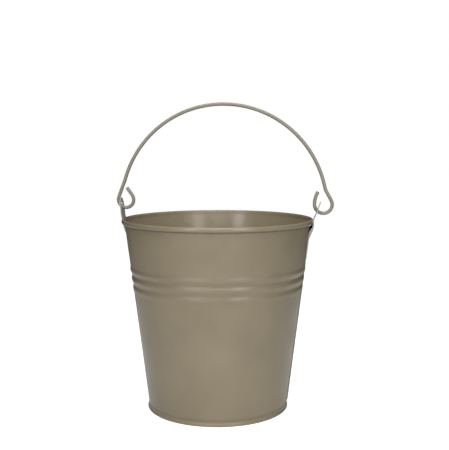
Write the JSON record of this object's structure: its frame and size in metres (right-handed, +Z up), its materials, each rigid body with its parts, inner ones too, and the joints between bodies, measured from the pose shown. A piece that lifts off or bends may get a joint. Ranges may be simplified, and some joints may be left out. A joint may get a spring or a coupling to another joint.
{
  "type": "florist bucket",
  "caption": "Small tapered sheet-metal florist pail with a rolled rim, pressed rings, strap ears and a swinging wire handle.",
  "frame": {"origin": "centre of the bucket's underside, on the axis of the body", "axes": "+Z up along the bucket's axis; +X towards the right ear, above the side seam; the handle swings about the line through the holes in the two ears, which is level with X to within about 1 degree (the left ear sits higher)"},
  "size_m": [0.1772, 0.155, 0.2484],
  "materials": {
    "wall_paint": "satin taupe paint",
    "base_paint": "satin taupe paint",
    "rim_steel": "drawn steel wire",
    "ear_paint": "light grey zinc-coloured coat, satin",
    "handle_paint": "satin grey-taupe paint"
  },
  "bodies": {
    "bucket": {"bucket_wall": "wall_paint", "base_disc": "base_paint", "rim_wire": "rim_steel", "ear_left": "ear_paint", "ear_right": "ear_paint"},
    "bail": {"bail_handle": "handle_paint"}
  },
  "joints": [
    {"name": "bail_swing", "type": "hinge", "parent": "bucket", "child": "bail", "pos_m": [0, 0, 0.16382], "axis": [0.9998, 0, -0.0175], "range_deg": [-105, 105]}
  ]
}
